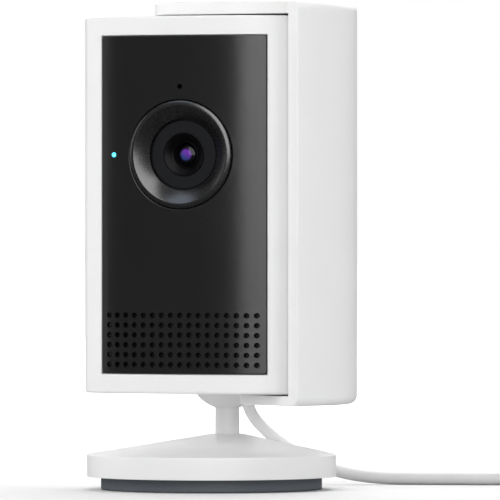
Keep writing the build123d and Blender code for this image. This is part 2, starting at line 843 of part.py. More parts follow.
def power_socket():
    """Metal socket inside the head."""
    outer = block(PLUG_X - 3.3, PLUG_X + 3.3, PLUG_Y - 1.4, PLUG_Y + 1.4, 26.1, 32.5)
    return outer - block(PLUG_X - 2.8, PLUG_X + 2.8, PLUG_Y - 0.9, PLUG_Y + 0.9, 26, 31.5)


def on_far_plug(shape):
    """Places a shape built along +X from the end of the tail."""
    end = tail_route()[-1]
    angle = COIL_TURN - 34 - 90
    return Pos(*end) * Rot(0, 0, angle) * shape


def usb_plug_body():
    """Overmoulded USB-A plug with its tapered strain relief."""
    relief = Rot(0, 90, 0) * turned([(0, 0), (1.35, 0), (2.4, 7.0), (0, 7.0)], (0, 0, 0))
    grip = Pos(17.0, 0, 0) * Box(20, 15.0, 7.4)
    grip = fillet(grip.edges().filter_by(Axis.X), 2.2)
    grip = fillet(grip.edges().group_by(Axis.X)[0], 1.2)
    grip = fillet(grip.edges().group_by(Axis.X)[-1], 0.5)
    return on_far_plug(relief + grip)


def usb_plug_shell():
    """Metal shell of the USB-A plug, open at its end, with two square windows."""
    shell_box = Pos(27 + 6.0, 0, 0) * Box(12.0, 12.0, 4.5)
    cavity = Pos(27 + 6.5, 0, 0) * Box(13.0, 11.4, 3.9)
    part = shell_box - cavity
    for y in (-2.9, 2.9):
        part -= Pos(33.2, y, 2.2) * Box(2.4, 2.4, 1.0)
    return on_far_plug(part)


def usb_plug_tongue():
    """Plastic contact tongue inside the metal shell."""
    return on_far_plug(Pos(27 + 5.7, 0, 0.9) * Box(10.6, 11.0, 1.7))


PARTS = {
    "foot_pad": foot_pad,
    "base_plate": base_plate,
    "base_cover": base_cover,
    "base_weight": base_weight,
    "base_screws": base_screws,
    "neck_post": neck_post,
    "neck_stud": neck_stud,
    "neck_nut": neck_nut,
    "joint_ball": joint_ball,
    "ball_liner": lambda: shell(LINER_IN, LINER_OUT, 93, 114),
    "pressure_cup": lambda: shell(CUP_IN, CUP_OUT, 79, 158),
    "socket_seat": socket_seat,
    "cup_spring": cup_spring,
    "clamp_plate": clamp_plate,
    "clamp_screws": clamp_screws,
    "front_housing": front_housing,
    "rear_cover": rear_cover,
    "faceplate": faceplate,
    "lens_ring": lens_ring,
    "lens_disc": lens_disc,
    "lens_bowl": lens_bowl,
    "lens_barrel": lens_barrel,
    "front_lens": front_lens,
    "rear_lenses": rear_lenses,
    "lens_holder": lens_holder,
    "infrared_cut_filter": lambda: plate_at(3.4, 3.4, -4.85, -4.45, LENS_Z),
    "image_sensor": lambda: plate_at(3.2, 2.7, -3.9, -3.1, LENS_Z),
    "sensor_board": sensor_board,
    "flex_cable": flex_cable,
    "front_board": front_board,
    "infrared_lights": infrared_lights,
    "status_light": status_light,
    "light_pipe": light_pipe,
    "microphone": microphone,
    "microphone_gasket": microphone_gasket,
    "speaker_mesh": speaker_mesh,
    "speaker_gasket": speaker_gasket,
    "speaker": speaker,
    "speaker_cone": speaker_cone,
    "main_board": main_board,
    "board_screws": board_screws,
    "processor": processor,
    "shield_can": shield_can,
    "heat_spreader": heat_spreader,
    "radio_module": radio_module,
    "antenna": antenna,
    "hall_sensor": hall_sensor,
    "setup_button": setup_button,
    "button_board": button_board,
    "tact_switch": tact_switch,
    "cover_shell": cover_shell,
    "cover_magnet": cover_magnet,
    "pivot_pin": lambda: [pivot_pin(), pin_clip()],
    "pivot_bushes": lambda: [pivot_bush(), friction_washer()],
    "power_plug": power_plug,
    "power_socket": lambda: [power_socket(), power_plug_shell()],
    "power_cord": lambda: [cord_tube("power_cord", cord_route()), cord_tube("cord_tail", tail_route())],
    "power_cord_coil": cord_coil,
    "usb_plug_body": lambda: [usb_plug_body(), usb_plug_tongue()],
    "usb_plug_shell": usb_plug_shell,
}

for node, make in PARTS.items():
    made = make()
    shape = Compound(children=made) if isinstance(made, list) else made
    export_step(shape, f"parts/{node}.step")
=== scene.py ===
"""Looks of a small indoor security camera: stand, head, lens, privacy cover and power lead.

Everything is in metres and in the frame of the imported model, whose nodes give each place.
"""
import logging
import math
from collections.abc import Callable, Iterable, Iterator, Sequence
from contextlib import contextmanager
from dataclasses import dataclass, field
from enum import Enum

import bpy
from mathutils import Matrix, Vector


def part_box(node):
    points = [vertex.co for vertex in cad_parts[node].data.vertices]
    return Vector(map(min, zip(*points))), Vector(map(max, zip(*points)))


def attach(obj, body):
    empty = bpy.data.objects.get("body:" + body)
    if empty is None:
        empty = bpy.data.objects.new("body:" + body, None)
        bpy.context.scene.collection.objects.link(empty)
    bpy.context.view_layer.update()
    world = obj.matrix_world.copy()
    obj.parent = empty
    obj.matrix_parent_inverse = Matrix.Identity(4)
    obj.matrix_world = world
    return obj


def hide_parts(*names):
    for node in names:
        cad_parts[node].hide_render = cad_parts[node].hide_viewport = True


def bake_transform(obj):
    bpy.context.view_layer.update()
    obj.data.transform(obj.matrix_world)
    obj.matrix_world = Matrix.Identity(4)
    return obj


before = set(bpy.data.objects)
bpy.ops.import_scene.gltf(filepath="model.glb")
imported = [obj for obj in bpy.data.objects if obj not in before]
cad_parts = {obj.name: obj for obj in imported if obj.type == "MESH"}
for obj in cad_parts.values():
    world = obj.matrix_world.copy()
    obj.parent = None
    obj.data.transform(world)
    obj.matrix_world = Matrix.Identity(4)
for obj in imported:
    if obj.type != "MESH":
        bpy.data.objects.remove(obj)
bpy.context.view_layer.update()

log = logging.getLogger("security_camera")
MM = 0.001
Colour = tuple[float, float, float]
Point = tuple[float, float, float]


class Body(Enum):
    """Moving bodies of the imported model."""

    STAND = "stand"
    SWIVEL = "swivel"
    TILT_CUP = "tilt_cup"
    HEAD = "head"
    COVER = "privacy_cover"
    BUTTON = "button"


class Axis(Enum):
    """Axis that a turned piece is spun round."""

    Y = (0.0, 1.0, 0.0)
    Z = (0.0, 0.0, 1.0)


# Modelling by operators


def deselect_all() -> None:
    """Deselects every object."""
    bpy.ops.object.select_all(action="DESELECT")


def activate(piece: bpy.types.Object) -> None:
    """Selects one object alone and makes it active."""
    deselect_all()
    piece.select_set(True)
    bpy.context.view_layer.objects.active = piece


@contextmanager
def editing(piece: bpy.types.Object) -> Iterator[None]:
    """Edit mode on one piece, left again at the end.

    Args:
        piece: The mesh object to edit.
    """
    activate(piece)
    bpy.ops.object.mode_set(mode="EDIT")
    yield
    bpy.ops.object.mode_set(mode="OBJECT")


def pick_faces(piece: bpy.types.Object, test: Callable[[Vector, Vector], bool]) -> None:
    """Selects the faces that pass a test, from inside edit mode.

    Args:
        piece: The mesh object in edit mode.
        test: Takes a face's centre and normal.
    """
    bpy.ops.mesh.select_all(action="DESELECT")
    bpy.ops.mesh.select_mode(type="FACE")
    bpy.ops.object.mode_set(mode="OBJECT")
    for face in piece.data.polygons:
        face.select = test(face.center, face.normal)
    bpy.ops.object.mode_set(mode="EDIT")


def pick_edges(piece: bpy.types.Object, test: Callable[[Vector, Vector], bool]) -> None:
    """Selects the edges that pass a test, from inside edit mode.

    Args:
        piece: The mesh object in edit mode.
        test: Takes an edge's two ends.
    """
    bpy.ops.mesh.select_all(action="DESELECT")
    bpy.ops.mesh.select_mode(type="EDGE")
    bpy.ops.object.mode_set(mode="OBJECT")
    spots = piece.data.vertices
    for edge in piece.data.edges:
        edge.select = test(*(spots[i].co for i in edge.vertices))
    bpy.ops.object.mode_set(mode="EDIT")


def named(piece: bpy.types.Object, name: str) -> bpy.types.Object:
    """Gives an object and its mesh the piece's name."""
    piece.name = name
    piece.data.name = name
    return piece


def settle(piece: bpy.types.Object, angle: float = 32.0) -> bpy.types.Object:
    """Puts the place into the mesh, closes seams, points faces outwards and smooths.

    Args:
        piece: The finished mesh object.
        angle: Edges flatter than this, in degrees, shade smooth.

    Returns:
        The same object.
    """
    activate(piece)
    bpy.ops.object.transform_apply(location=True, rotation=True, scale=True)
    with editing(piece):
        bpy.ops.mesh.select_all(action="SELECT")
        bpy.ops.mesh.remove_doubles(threshold=2e-7)
        bpy.ops.mesh.normals_make_consistent(inside=False)
    activate(piece)
    bpy.ops.object.shade_smooth_by_angle(angle=math.radians(angle))
    return piece


def apply_bevel(piece: bpy.types.Object, width: float, segments: int = 2, angle: float = 35.0) -> None:
    """Rounds a piece's sharp edges with an applied bevel.

    Args:
        piece: The mesh object.
        width: Width of the rounding in metres.
        segments: Faces across it.
        angle: Edges sharper than this, in degrees, are rounded.
    """
    activate(piece)
    bevel = piece.modifiers.new("edges", "BEVEL")
    bevel.width = width
    bevel.segments = segments
    bevel.limit_method = "ANGLE"
    bevel.angle_limit = math.radians(angle)
    bpy.ops.object.modifier_apply(modifier=bevel.name)


def turned(
    name: str, profile: Sequence[tuple[float, float]], centre: Vector, axis: Axis, steps: int = 96
) -> bpy.types.Object:
    """Piece spun round an axis from a profile drawn as an extruded line.

    Args:
        name: The piece's name.
        profile: Radius and height along the axis of each corner, in millimetres.
        centre: A point on the axis, from which the heights count.
        axis: The axis it is spun round.
        steps: Faces in one turn.

    Returns:
        The closed piece.
    """
    along = Vector(axis.value)
    spots = [centre + Vector((r * MM, 0, 0)) + along * (h * MM) for r, h in profile]
    bpy.ops.mesh.primitive_plane_add(size=0.001, location=spots[0])
    piece = named(bpy.context.object, name)
    activate(piece)
    bpy.ops.object.transform_apply(location=True, rotation=True, scale=True)
    with editing(piece):
        bpy.ops.mesh.select_mode(type="VERT")
        bpy.ops.mesh.select_all(action="SELECT")
        bpy.ops.mesh.merge(type="CENTER")
        for before, after in zip(spots, spots[1:]):
            move = {"value": tuple(after - before)}
            bpy.ops.mesh.extrude_region_move(TRANSFORM_OT_translate=move)
        bpy.ops.mesh.select_all(action="SELECT")
        bpy.ops.mesh.spin(steps=steps, angle=2 * math.pi, center=centre, axis=along)
        bpy.ops.mesh.select_all(action="SELECT")
        bpy.ops.mesh.remove_doubles(threshold=1e-6)
    return settle(piece)


def middle(node: str) -> Vector:
    """Middle of a CAD node's box."""
    low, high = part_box(node)
    return (low + high) / 2


# Node trees


class Graph:
    """Adds and joins the nodes of one tree."""

    def __init__(self, tree: bpy.types.NodeTree) -> None:
        """Starts with the tree it works on."""
        self.tree = tree

    def add(self, kind: str, settings: dict | None = None, **inputs: object) -> bpy.types.Node:
        """Adds a node.

        Args:
            kind: Blender's node type.
            settings: Node properties.
            inputs: Values or output sockets by input name, with _ for a space.

        Returns:
            The new node.
        """
        node = self.tree.nodes.new(kind)
        for key, value in (settings or {}).items():
            setattr(node, key, value)
        for key, value in inputs.items():
            self.feed(node.inputs[key.replace("_", " ")], value)
        return node

    def feed(self, socket: bpy.types.NodeSocket, value: object) -> None:
        """Links an output into a socket, or sets the socket's own value."""
        if isinstance(value, bpy.types.NodeSocket):
            self.tree.links.new(value, socket)
        elif isinstance(value, tuple) and len(value) == 3 and socket.type == "RGBA":
            socket.default_value = (*value, 1.0)
        else:
            socket.default_value = value

    def maths(self, operation: str, a: object, b: object = 0.0, clamp: bool = False) -> bpy.types.NodeSocket:
        """Result of one Math node."""
        node = self.add("ShaderNodeMath", {"operation": operation, "use_clamp": clamp})
        self.feed(node.inputs[0], a)
        self.feed(node.inputs[1], b)
        return node.outputs[0]

    def mix(self, factor: object, a: object, b: object, blend: str = "MIX") -> bpy.types.NodeSocket:
        """Result of one colour Mix node."""
        node = self.add("ShaderNodeMix", {"data_type": "RGBA", "blend_type": blend})
        self.feed(node.inputs[0], factor)
        self.feed(node.inputs[6], a)
        self.feed(node.inputs[7], b)
        return node.outputs[2]

    def between(
        self, value: object, low: float, high: float, to_low: object = 0.0, to_high: object = 1.0
    ) -> bpy.types.NodeSocket:
        """Result of one clamped Map Range node."""
        node = self.add("ShaderNodeMapRange")
        for index, item in enumerate((value, low, high, to_low, to_high)):
            self.feed(node.inputs[index], item)
        return node.outputs[0]

    def noise(
        self, vector: object, scale: object, detail: float = 3.0, roughness: float = 0.55
    ) -> bpy.types.NodeSocket:
        """Value of one Noise texture."""
        node = self.add("ShaderNodeTexNoise", Vector=vector, Scale=scale, Detail=detail, Roughness=roughness)
        return node.outputs[0]


def shader_group(
    name: str, inputs: dict[str, object], outputs: dict[str, str], fill: Callable[[Graph, dict], dict]
) -> bpy.types.NodeTree:
    """Builds a node group once.

    Args:
        name: The group's name.
        inputs: Default value of each input; a tuple of three is a colour.
        outputs: Socket type of each output, FLOAT or RGBA.
        fill: Adds the nodes from the inputs' sockets and returns the outputs' sockets.

    Returns:
        The group.
    """
    if name in bpy.data.node_groups:
        return bpy.data.node_groups[name]
    tree = bpy.data.node_groups.new(name, "ShaderNodeTree")
    kinds = {"FLOAT": "NodeSocketFloat", "RGBA": "NodeSocketColor"}
    for key, value in inputs.items():
        kind = "RGBA" if isinstance(value, tuple) else "FLOAT"
        socket = tree.interface.new_socket(name=key, in_out="INPUT", socket_type=kinds[kind])
        socket.default_value = (*value, 1.0) if kind == "RGBA" else value
    for key, kind in outputs.items():
        tree.interface.new_socket(name=key, in_out="OUTPUT", socket_type=kinds[kind])
    graph = Graph(tree)
    start, end = graph.add("NodeGroupInput"), graph.add("NodeGroupOutput")
    made = fill(graph, {key: start.outputs[key] for key in inputs})
    for key, socket in made.items():
        tree.links.new(socket, end.inputs[key])
    return tree


def moulded_grain() -> bpy.types.NodeTree:
    """Moulded surface: faint cloudy tone, gloss that varies and a fine grain."""

    def fill(g: Graph, i: dict) -> dict:
        place = g.add("ShaderNodeTexCoord").outputs["Object"]
        cloud = g.noise(place, i["Cloud Scale"], 4.0)
        fine = g.noise(place, i["Grain Scale"], 2.0, 0.6)
        tone = g.between(cloud, 0.3, 0.7)
        darker = g.mix(1.0, i["Colour"], i["Tone"], "MULTIPLY")
        colour = g.mix(tone, darker, i["Colour"])
        spread = g.maths("MULTIPLY", g.maths("SUBTRACT", fine, 0.5), i["Gloss Spread"])
        rough = g.maths("ADD", i["Roughness"], spread, clamp=True)
        half_spread = g.maths("MULTIPLY", i["Gloss Spread"], 0.5)
        cloudy = g.maths("MULTIPLY", g.maths("SUBTRACT", tone, 0.5), half_spread)
        rough = g.maths("ADD", rough, cloudy, clamp=True)
        return {"Colour": colour, "Roughness": rough, "Height": fine}

    inputs = {
        "Colour": (0.8, 0.8, 0.8),
        "Tone": (0.96, 0.96, 0.96),
        "Roughness": 0.4,
        "Gloss Spread": 0.08,
        "Cloud Scale": 60.0,
        "Grain Scale": 4200.0,
    }
    return shader_group("moulded_grain", inputs, {"Colour": "RGBA", "Roughness": "FLOAT", "Height": "FLOAT"}, fill)


def settled_dust() -> bpy.types.NodeTree:
    """Thin dust on faces that look up, and specks of it anywhere."""

    def fill(g: Graph, i: dict) -> dict:
        place = g.add("ShaderNodeTexCoord").outputs["Object"]
        up = g.add("ShaderNodeSeparateXYZ", Vector=g.add("ShaderNodeNewGeometry").outputs["Normal"]).outputs["Z"]
        lying = g.between(up, 0.35, 1.0)
        patch = g.between(g.noise(place, 160.0, 5.0), 0.42, 0.75)
        specks = g.between(g.noise(place, 2600.0, 1.0), 0.70, 0.78)
        cover = g.maths("ADD", g.maths("MULTIPLY", lying, patch), g.maths("MULTIPLY", specks, 0.5))
        mask = g.maths("MULTIPLY", cover, i["Amount"], clamp=True)
        colour = g.mix(mask, i["Colour"], i["Dust"])
        rough = g.maths("ADD", i["Roughness"], g.maths("MULTIPLY", mask, 0.35), clamp=True)
        return {"Colour": colour, "Roughness": rough}

    inputs = {"Colour": (0.8, 0.8, 0.8), "Dust": (0.62, 0.60, 0.57), "Roughness": 0.4, "Amount": 0.1}
    return shader_group("settled_dust", inputs, {"Colour": "RGBA", "Roughness": "FLOAT"}, fill)


def drawn_lines() -> bpy.types.NodeTree:
    """Fine parallel lines of rolled, brushed or turned metal, with a few scratches."""

    def fill(g: Graph, i: dict) -> dict:
        place = g.add("ShaderNodeTexCoord").outputs["Object"]
        stretched = g.add("ShaderNodeMapping", Vector=place)
        stretched.inputs["Scale"].default_value = (1.0, 0.03, 1.0)
        lines = g.noise(stretched.outputs[0], i["Line Scale"], 4.0, 0.7)
        wear = g.between(g.noise(place, 340.0, 6.0, 0.7), 0.62, 0.72)
        colour = g.mix(g.maths("MULTIPLY", lines, i["Contrast"]), i["Colour"], (0.12, 0.12, 0.12), "MIX")
        colour = g.mix(g.maths("MULTIPLY", wear, 0.25), colour, (0.25, 0.24, 0.22))
        rough = g.maths("ADD", i["Roughness"], g.maths("MULTIPLY", g.maths("SUBTRACT", lines, 0.5), 0.25), clamp=True)
        return {"Colour": colour, "Roughness": rough, "Height": lines}

    inputs = {"Colour": (0.6, 0.6, 0.6), "Roughness": 0.3, "Contrast": 0.2, "Line Scale": 2600.0}
    return shader_group("drawn_lines", inputs, {"Colour": "RGBA", "Roughness": "FLOAT", "Height": "FLOAT"}, fill)


def board_tracks() -> bpy.types.NodeTree:
    """Copper tracks, pads and ground areas under solder resist."""

    def fill(g: Graph, i: dict) -> dict:
        place = g.add("ShaderNodeTexCoord").outputs["Object"]
        cells = g.add("ShaderNodeTexVoronoi", {"feature": "DISTANCE_TO_EDGE"}, Vector=place, Scale=620.0)
        track = g.between(cells.outputs["Distance"], 0.05, 0.09, 1.0, 0.0)
        dots = g.add("ShaderNodeTexVoronoi", Vector=place, Scale=900.0)
        pads = g.between(dots.outputs["Distance"], 0.16, 0.2, 1.0, 0.0)
        areas = g.between(g.noise(place, 150.0, 2.0), 0.48, 0.5)
        colour = g.mix(g.maths("MULTIPLY", track, 0.7), i["Colour"], i["Track"])
        colour = g.mix(g.maths("MULTIPLY", areas, 0.25), colour, i["Track"])
        colour = g.mix(g.maths("MULTIPLY", pads, 0.85), colour, i["Pad"])
        rough = g.between(pads, 0.0, 1.0, 0.38, 0.25)
        height = g.maths("MAXIMUM", g.maths("MULTIPLY", track, 0.5), pads)
        return {"Colour": colour, "Roughness": rough, "Height": height}

    inputs = {"Colour": (0.012, 0.07, 0.035), "Track": (0.03, 0.15, 0.06), "Pad": (0.72, 0.66, 0.45)}
    return shader_group("board_tracks", inputs, {"Colour": "RGBA", "Roughness": "FLOAT", "Height": "FLOAT"}, fill)


def use_group(graph: Graph, tree: bpy.types.NodeTree, **inputs: object) -> bpy.types.Node:
    """Places a node group with its own values."""
    node = graph.add("ShaderNodeGroup", {"node_tree": tree})
    for key, value in inputs.items():
        graph.feed(node.inputs[key.replace("_", " ")], value)
    return node


# Finishes


@dataclass(frozen=True)
class Finish:
    """Base of every finish: a named material made once.

    Args:
        name: The material's name.
        colour: Main linear colour.
        roughness: Main roughness.
    """

    name: str
    colour: Colour
    roughness: float

    def material(self) -> bpy.types.Material:
        """The material, built at its first use."""
        title = f"{self.name}_finish"
        found = bpy.data.materials.get(title)
        if found is not None:
            return found
        made = bpy.data.materials.new(title)
        made.use_nodes = True
        made.node_tree.nodes.clear()
        graph = Graph(made.node_tree)
        shader = graph.add("ShaderNodeBsdfPrincipled")
        end = graph.add("ShaderNodeOutputMaterial")
        made.node_tree.links.new(shader.outputs[0], end.inputs[0])
        self.fill(graph, shader)
        made.diffuse_color = (*self.colour, 1.0)
        return made

    def fill(self, graph: Graph, shader: bpy.types.Node) -> None:
        """Adds the finish's own nodes."""
        raise NotImplementedError

    def bump(self, graph: Graph, shader: bpy.types.Node, height: bpy.types.NodeSocket, depth: float) -> None:
        """Feeds a height into the shader's normal."""
        node = graph.add("ShaderNodeBump", Height=height, Strength=1.0, Distance=depth)
        graph.feed(shader.inputs["Normal"], node.outputs[0])


@dataclass(frozen=True)
class Moulded(Finish):
    """Moulded plastic or rubber with a fine grain, a faint tone and a little dust."""

    tone: Colour = (0.965, 0.965, 0.97)
    gloss_spread: float = 0.08
    cloud_scale: float = 60.0
    grain_scale: float = 4200.0
    grain_depth: float = 4e-6
    dust: float = 0.05
    specular: float = 0.5
    ior: float = 1.5
    coat: float = 0.0
    coat_roughness: float = 0.1
    subsurface: float = 0.0
    sheen: float = 0.0

    def fill(self, graph: Graph, shader: bpy.types.Node) -> None:
        """Grain, then dust, then the shader's own constants."""
        grain = use_group(
            graph,
            moulded_grain(),
            Colour=self.colour,
            Tone=self.tone,
            Roughness=self.roughness,
            Gloss_Spread=self.gloss_spread,
            Cloud_Scale=self.cloud_scale,
            Grain_Scale=self.grain_scale,
        )
        dust = use_group(
            graph,
            settled_dust(),
            Colour=grain.outputs["Colour"],
            Roughness=grain.outputs["Roughness"],
            Amount=self.dust,
        )
        graph.feed(shader.inputs["Base Color"], dust.outputs["Colour"])
        graph.feed(shader.inputs["Roughness"], dust.outputs["Roughness"])
        self.bump(graph, shader, grain.outputs["Height"], self.grain_depth)
        shader.inputs["Specular IOR Level"].default_value = self.specular
        shader.inputs["IOR"].default_value = self.ior
        shader.inputs["Coat Weight"].default_value = self.coat
        shader.inputs["Coat Roughness"].default_value = self.coat_roughness
        shader.inputs["Sheen Weight"].default_value = self.sheen
        if self.subsurface:
            shader.inputs["Subsurface Weight"].default_value = self.subsurface
            shader.inputs["Subsurface Radius"].default_value = (1.0, 0.95, 0.9)
            shader.inputs["Subsurface Scale"].default_value = 0.0008


@dataclass(frozen=True)
class Metal(Finish):
    """Rolled or turned metal with fine lines and light wear."""

    contrast: float = 0.2
    line_scale: float = 2600.0
    depth: float = 3e-6

    def fill(self, graph: Graph, shader: bpy.types.Node) -> None:
        """Lines feed colour, roughness and bump."""
        lines = use_group(
            graph,
            drawn_lines(),
            Colour=self.colour,
            Roughness=self.roughness,
            Contrast=self.contrast,
            Line_Scale=self.line_scale,
        )
        graph.feed(shader.inputs["Base Color"], lines.outputs["Colour"])
        graph.feed(shader.inputs["Roughness"], lines.outputs["Roughness"])
        shader.inputs["Metallic"].default_value = 1.0
        self.bump(graph, shader, lines.outputs["Height"], self.depth)


@dataclass(frozen=True)
class Board(Finish):
    """Circuit board with its tracks and pads."""

    track: Colour = (0.03, 0.15, 0.06)

    def fill(self, graph: Graph, shader: bpy.types.Node) -> None:
        """Tracks feed colour, roughness and bump."""
        tracks = use_group(graph, board_tracks(), Colour=self.colour, Track=self.track)
        graph.feed(shader.inputs["Base Color"], tracks.outputs["Colour"])
        graph.feed(shader.inputs["Roughness"], tracks.outputs["Roughness"])
        self.bump(graph, shader, tracks.outputs["Height"], 1.5e-5)


@dataclass(frozen=True)
class Glass(Finish):
    """Clear glass with a coated surface and a trace of dust in its gloss."""

    ior: float = 1.5
    coat_tint: Colour = (1.0, 1.0, 1.0)

    def fill(self, graph: Graph, shader: bpy.types.Node) -> None:
        """Fine specks change the roughness; the rest is constant."""
        place = graph.add("ShaderNodeTexCoord").outputs["Object"]
        specks = graph.between(graph.noise(place, 1800.0, 2.0), 0.66, 0.8, self.roughness, self.roughness + 0.08)
        tone = graph.between(graph.noise(place, 300.0, 2.0), 0.3, 0.7)
        shade = tuple(c * 0.96 for c in self.colour)
        graph.feed(shader.inputs["Base Color"], graph.mix(tone, shade, self.colour))
        graph.feed(shader.inputs["Roughness"], specks)
        shader.inputs["Transmission Weight"].default_value = 1.0
        shader.inputs["IOR"].default_value = self.ior
        shader.inputs["Specular Tint"].default_value = (*self.coat_tint, 1.0)


@dataclass(frozen=True)
class PaintedReflectionLens(Finish):
    """Dark front lens with a painted reflection in its middle: violet, blue at one side, in place of its coating's
    reflection.
    """

    reflection_blue: Colour = (0.03, 0.05, 0.22)
    rim: Colour = (0.0025, 0.0025, 0.004)
    centre: Point = (0.0, 0.0, 0.0)
    reflection_radius: float = 0.00125

    def fill(self, graph: Graph, shader: bpy.types.Node) -> None:
        """Painted reflection: colour runs from the middle to the rim round the lens axis."""
        place = graph.add("ShaderNodeTexCoord").outputs["Object"]
        offset = graph.add("ShaderNodeVectorMath", {"operation": "SUBTRACT"})
        graph.feed(offset.inputs[0], place)
        offset.inputs[1].default_value = self.centre
        flat = graph.add("ShaderNodeVectorMath", {"operation": "MULTIPLY"})
        graph.feed(flat.inputs[0], offset.outputs[0])
        flat.inputs[1].default_value = (1.0, 0.0, 1.0)
        reach = graph.add("ShaderNodeVectorMath", {"operation": "LENGTH"})
        graph.feed(reach.inputs[0], flat.outputs[0])
        r = self.reflection_radius
        film = graph.noise(place, 900.0, 2.0)
        # Painted reflection: blue on the lower left side of the middle, violet on the upper right.
        split = graph.add("ShaderNodeSeparateXYZ", Vector=offset.outputs[0])
        lean = graph.maths("ADD", graph.maths("MULTIPLY", split.outputs["X"], 0.7), split.outputs["Z"])
        wander = graph.maths("MULTIPLY", graph.maths("SUBTRACT", film, 0.5), 0.4 * r)
        violet_side = graph.between(graph.maths("ADD", lean, wander), -0.55 * r, 0.5 * r)
        painted_reflection = graph.mix(violet_side, self.reflection_blue, self.colour)
        # Outside the painted reflection the lens keeps its own dark rim colour.
        inside = graph.between(reach.outputs["Value"], 0.72 * r, 1.02 * r, 1.0, 0.0)
        colour = graph.mix(inside, self.rim, painted_reflection)
        graph.feed(shader.inputs["Base Color"], colour)
        graph.feed(shader.inputs["Roughness"], graph.between(film, 0.3, 0.7, self.roughness, self.roughness + 0.05))
        shader.inputs["Specular IOR Level"].default_value = 0.25
        shader.inputs["Coat Weight"].default_value = 0.3
        shader.inputs["Coat Roughness"].default_value = 0.02


@dataclass(frozen=True)
class Glow(Finish):
    """Clear light pipe lit from behind, brightest in its middle."""

    strength: float = 1.0
    centre: Point = (0.0, 0.0, 0.0)
    radius: float = 0.00045

    def fill(self, graph: Graph, shader: bpy.types.Node) -> None:
        """Emission falls off towards the rim."""
        place = graph.add("ShaderNodeTexCoord").outputs["Object"]
        reach = graph.add("ShaderNodeVectorMath", {"operation": "DISTANCE"})
        graph.feed(reach.inputs[0], place)
        reach.inputs[1].default_value = self.centre
        share = graph.between(reach.outputs["Value"], 0.25 * self.radius, 1.25 * self.radius)
        hot = tuple(min(1.0, 0.12 + c) for c in self.colour)
        colour = graph.mix(share, hot, self.colour)
        film = graph.noise(place, 3000.0, 2.0)
        graph.feed(shader.inputs["Base Color"], graph.mix(film, (0.05, 0.08, 0.09), (0.08, 0.12, 0.14)))
        graph.feed(shader.inputs["Emission Color"], colour)
        shader.inputs["Emission Strength"].default_value = self.strength
        graph.feed(shader.inputs["Roughness"], graph.between(film, 0.0, 1.0, self.roughness, self.roughness + 0.1))


WHITE_SHELL = Moulded(
    "white_shell", (0.925, 0.925, 0.925), 0.36, tone=(0.985, 0.985, 0.985), dust=0.02, subsurface=0.12,
)
NECK_WHITE = Moulded("neck_white", (0.94, 0.94, 0.94), 0.4, tone=(0.98, 0.98, 0.98), dust=0.02)
FACE_BLACK = Moulded(
    "face_black", (0.0068, 0.0067, 0.0066), 0.26, tone=(0.85, 0.85, 0.85), gloss_spread=0.04,
    grain_scale=5200.0, grain_depth=1.2e-6, dust=0.006, specular=1.0,
)
RING_BLACK = Moulded(
    "ring_black", (0.004, 0.0041, 0.0045), 0.27, tone=(0.85, 0.85, 0.87), gloss_spread=0.04,
    grain_depth=5e-7, dust=0.004, specular=1.0, ior=1.7,
)
LENS_BLACK = Moulded(
    "lens_black", (0.0115, 0.012, 0.0135), 0.45, tone=(0.85, 0.85, 0.87), gloss_spread=0.08,
    grain_depth=2e-6, dust=0.004, specular=0.15,
)
BOWL_BLACK = Moulded(
    "bowl_black", (0.0022, 0.0022, 0.0024), 0.36, tone=(0.8, 0.8, 0.82), gloss_spread=0.06,
    grain_depth=8e-7, dust=0.0, specular=0.14,
)
INNER_BLACK = Moulded(
    "inner_black", (0.014, 0.014, 0.015), 0.6, tone=(0.75, 0.75, 0.78), grain_scale=2400.0,
    grain_depth=2e-5, dust=0.08,
)
FOOT_RUBBER = Moulded(
    "foot_rubber", (0.118, 0.131, 0.147), 0.6, tone=(0.82, 0.83, 0.85), gloss_spread=0.14,
    grain_scale=3000.0, grain_depth=1.6e-5, dust=0.16,
)
GASKET = Moulded(
    "gasket_foam", (0.03, 0.03, 0.032), 0.85, tone=(0.7, 0.7, 0.7), grain_scale=1500.0, grain_depth=6e-5,
    dust=0.1,
)
NYLON = Moulded("inner_nylon", (0.70, 0.69, 0.64), 0.5, tone=(0.93, 0.92, 0.9), grain_depth=6e-6, subsurface=0.2)
PLUG_WHITE = Moulded(
    "plug_white", (0.9, 0.9, 0.9), 0.45, tone=(0.96, 0.96, 0.965), grain_scale=2600.0, grain_depth=1e-5,
    dust=0.04,
)
CORD_WHITE = Moulded(
    "cord_white", (0.93, 0.93, 0.93), 0.46, tone=(0.95, 0.95, 0.955), gloss_spread=0.12, cloud_scale=220.0,
    grain_scale=3200.0, grain_depth=8e-6, dust=0.03,
)
TIE_GREY = Moulded(
    "tie_grey", (0.16, 0.16, 0.165), 0.85, tone=(0.8, 0.8, 0.8), grain_scale=1400.0, grain_depth=6e-5,
    dust=0.05, sheen=0.4,
)
CHIP = Moulded("chip_black", (0.02, 0.02, 0.021), 0.5, tone=(0.8, 0.8, 0.8), grain_scale=6000.0, grain_depth=5e-6)
CONE_PAPER = Moulded(
    "speaker_black", (0.03, 0.03, 0.031), 0.7, tone=(0.75, 0.75, 0.75), grain_scale=1200.0,
    grain_depth=3e-5, sheen=0.2,
)
FLEX = Moulded("flex_amber", (0.36, 0.13, 0.02), 0.3, tone=(0.8, 0.75, 0.7), cloud_scale=400.0)
SCREW_STEEL = Metal("screw_steel", (0.60, 0.60, 0.59), 0.3)
DARK_STEEL = Metal("dark_steel", (0.30, 0.30, 0.30), 0.42, contrast=0.35)
PLATE_STEEL = Metal("plate_steel", (0.68, 0.68, 0.67), 0.24, contrast=0.15)
SPREADER = Metal("spreader_aluminium", (0.78, 0.78, 0.79), 0.36, contrast=0.12, line_scale=1800.0)
MESH_BLACK = Metal("mesh_black", (0.02, 0.02, 0.021), 0.55, contrast=0.5)
BOARD = Board("circuit_board", (0.012, 0.07, 0.035), 0.4)


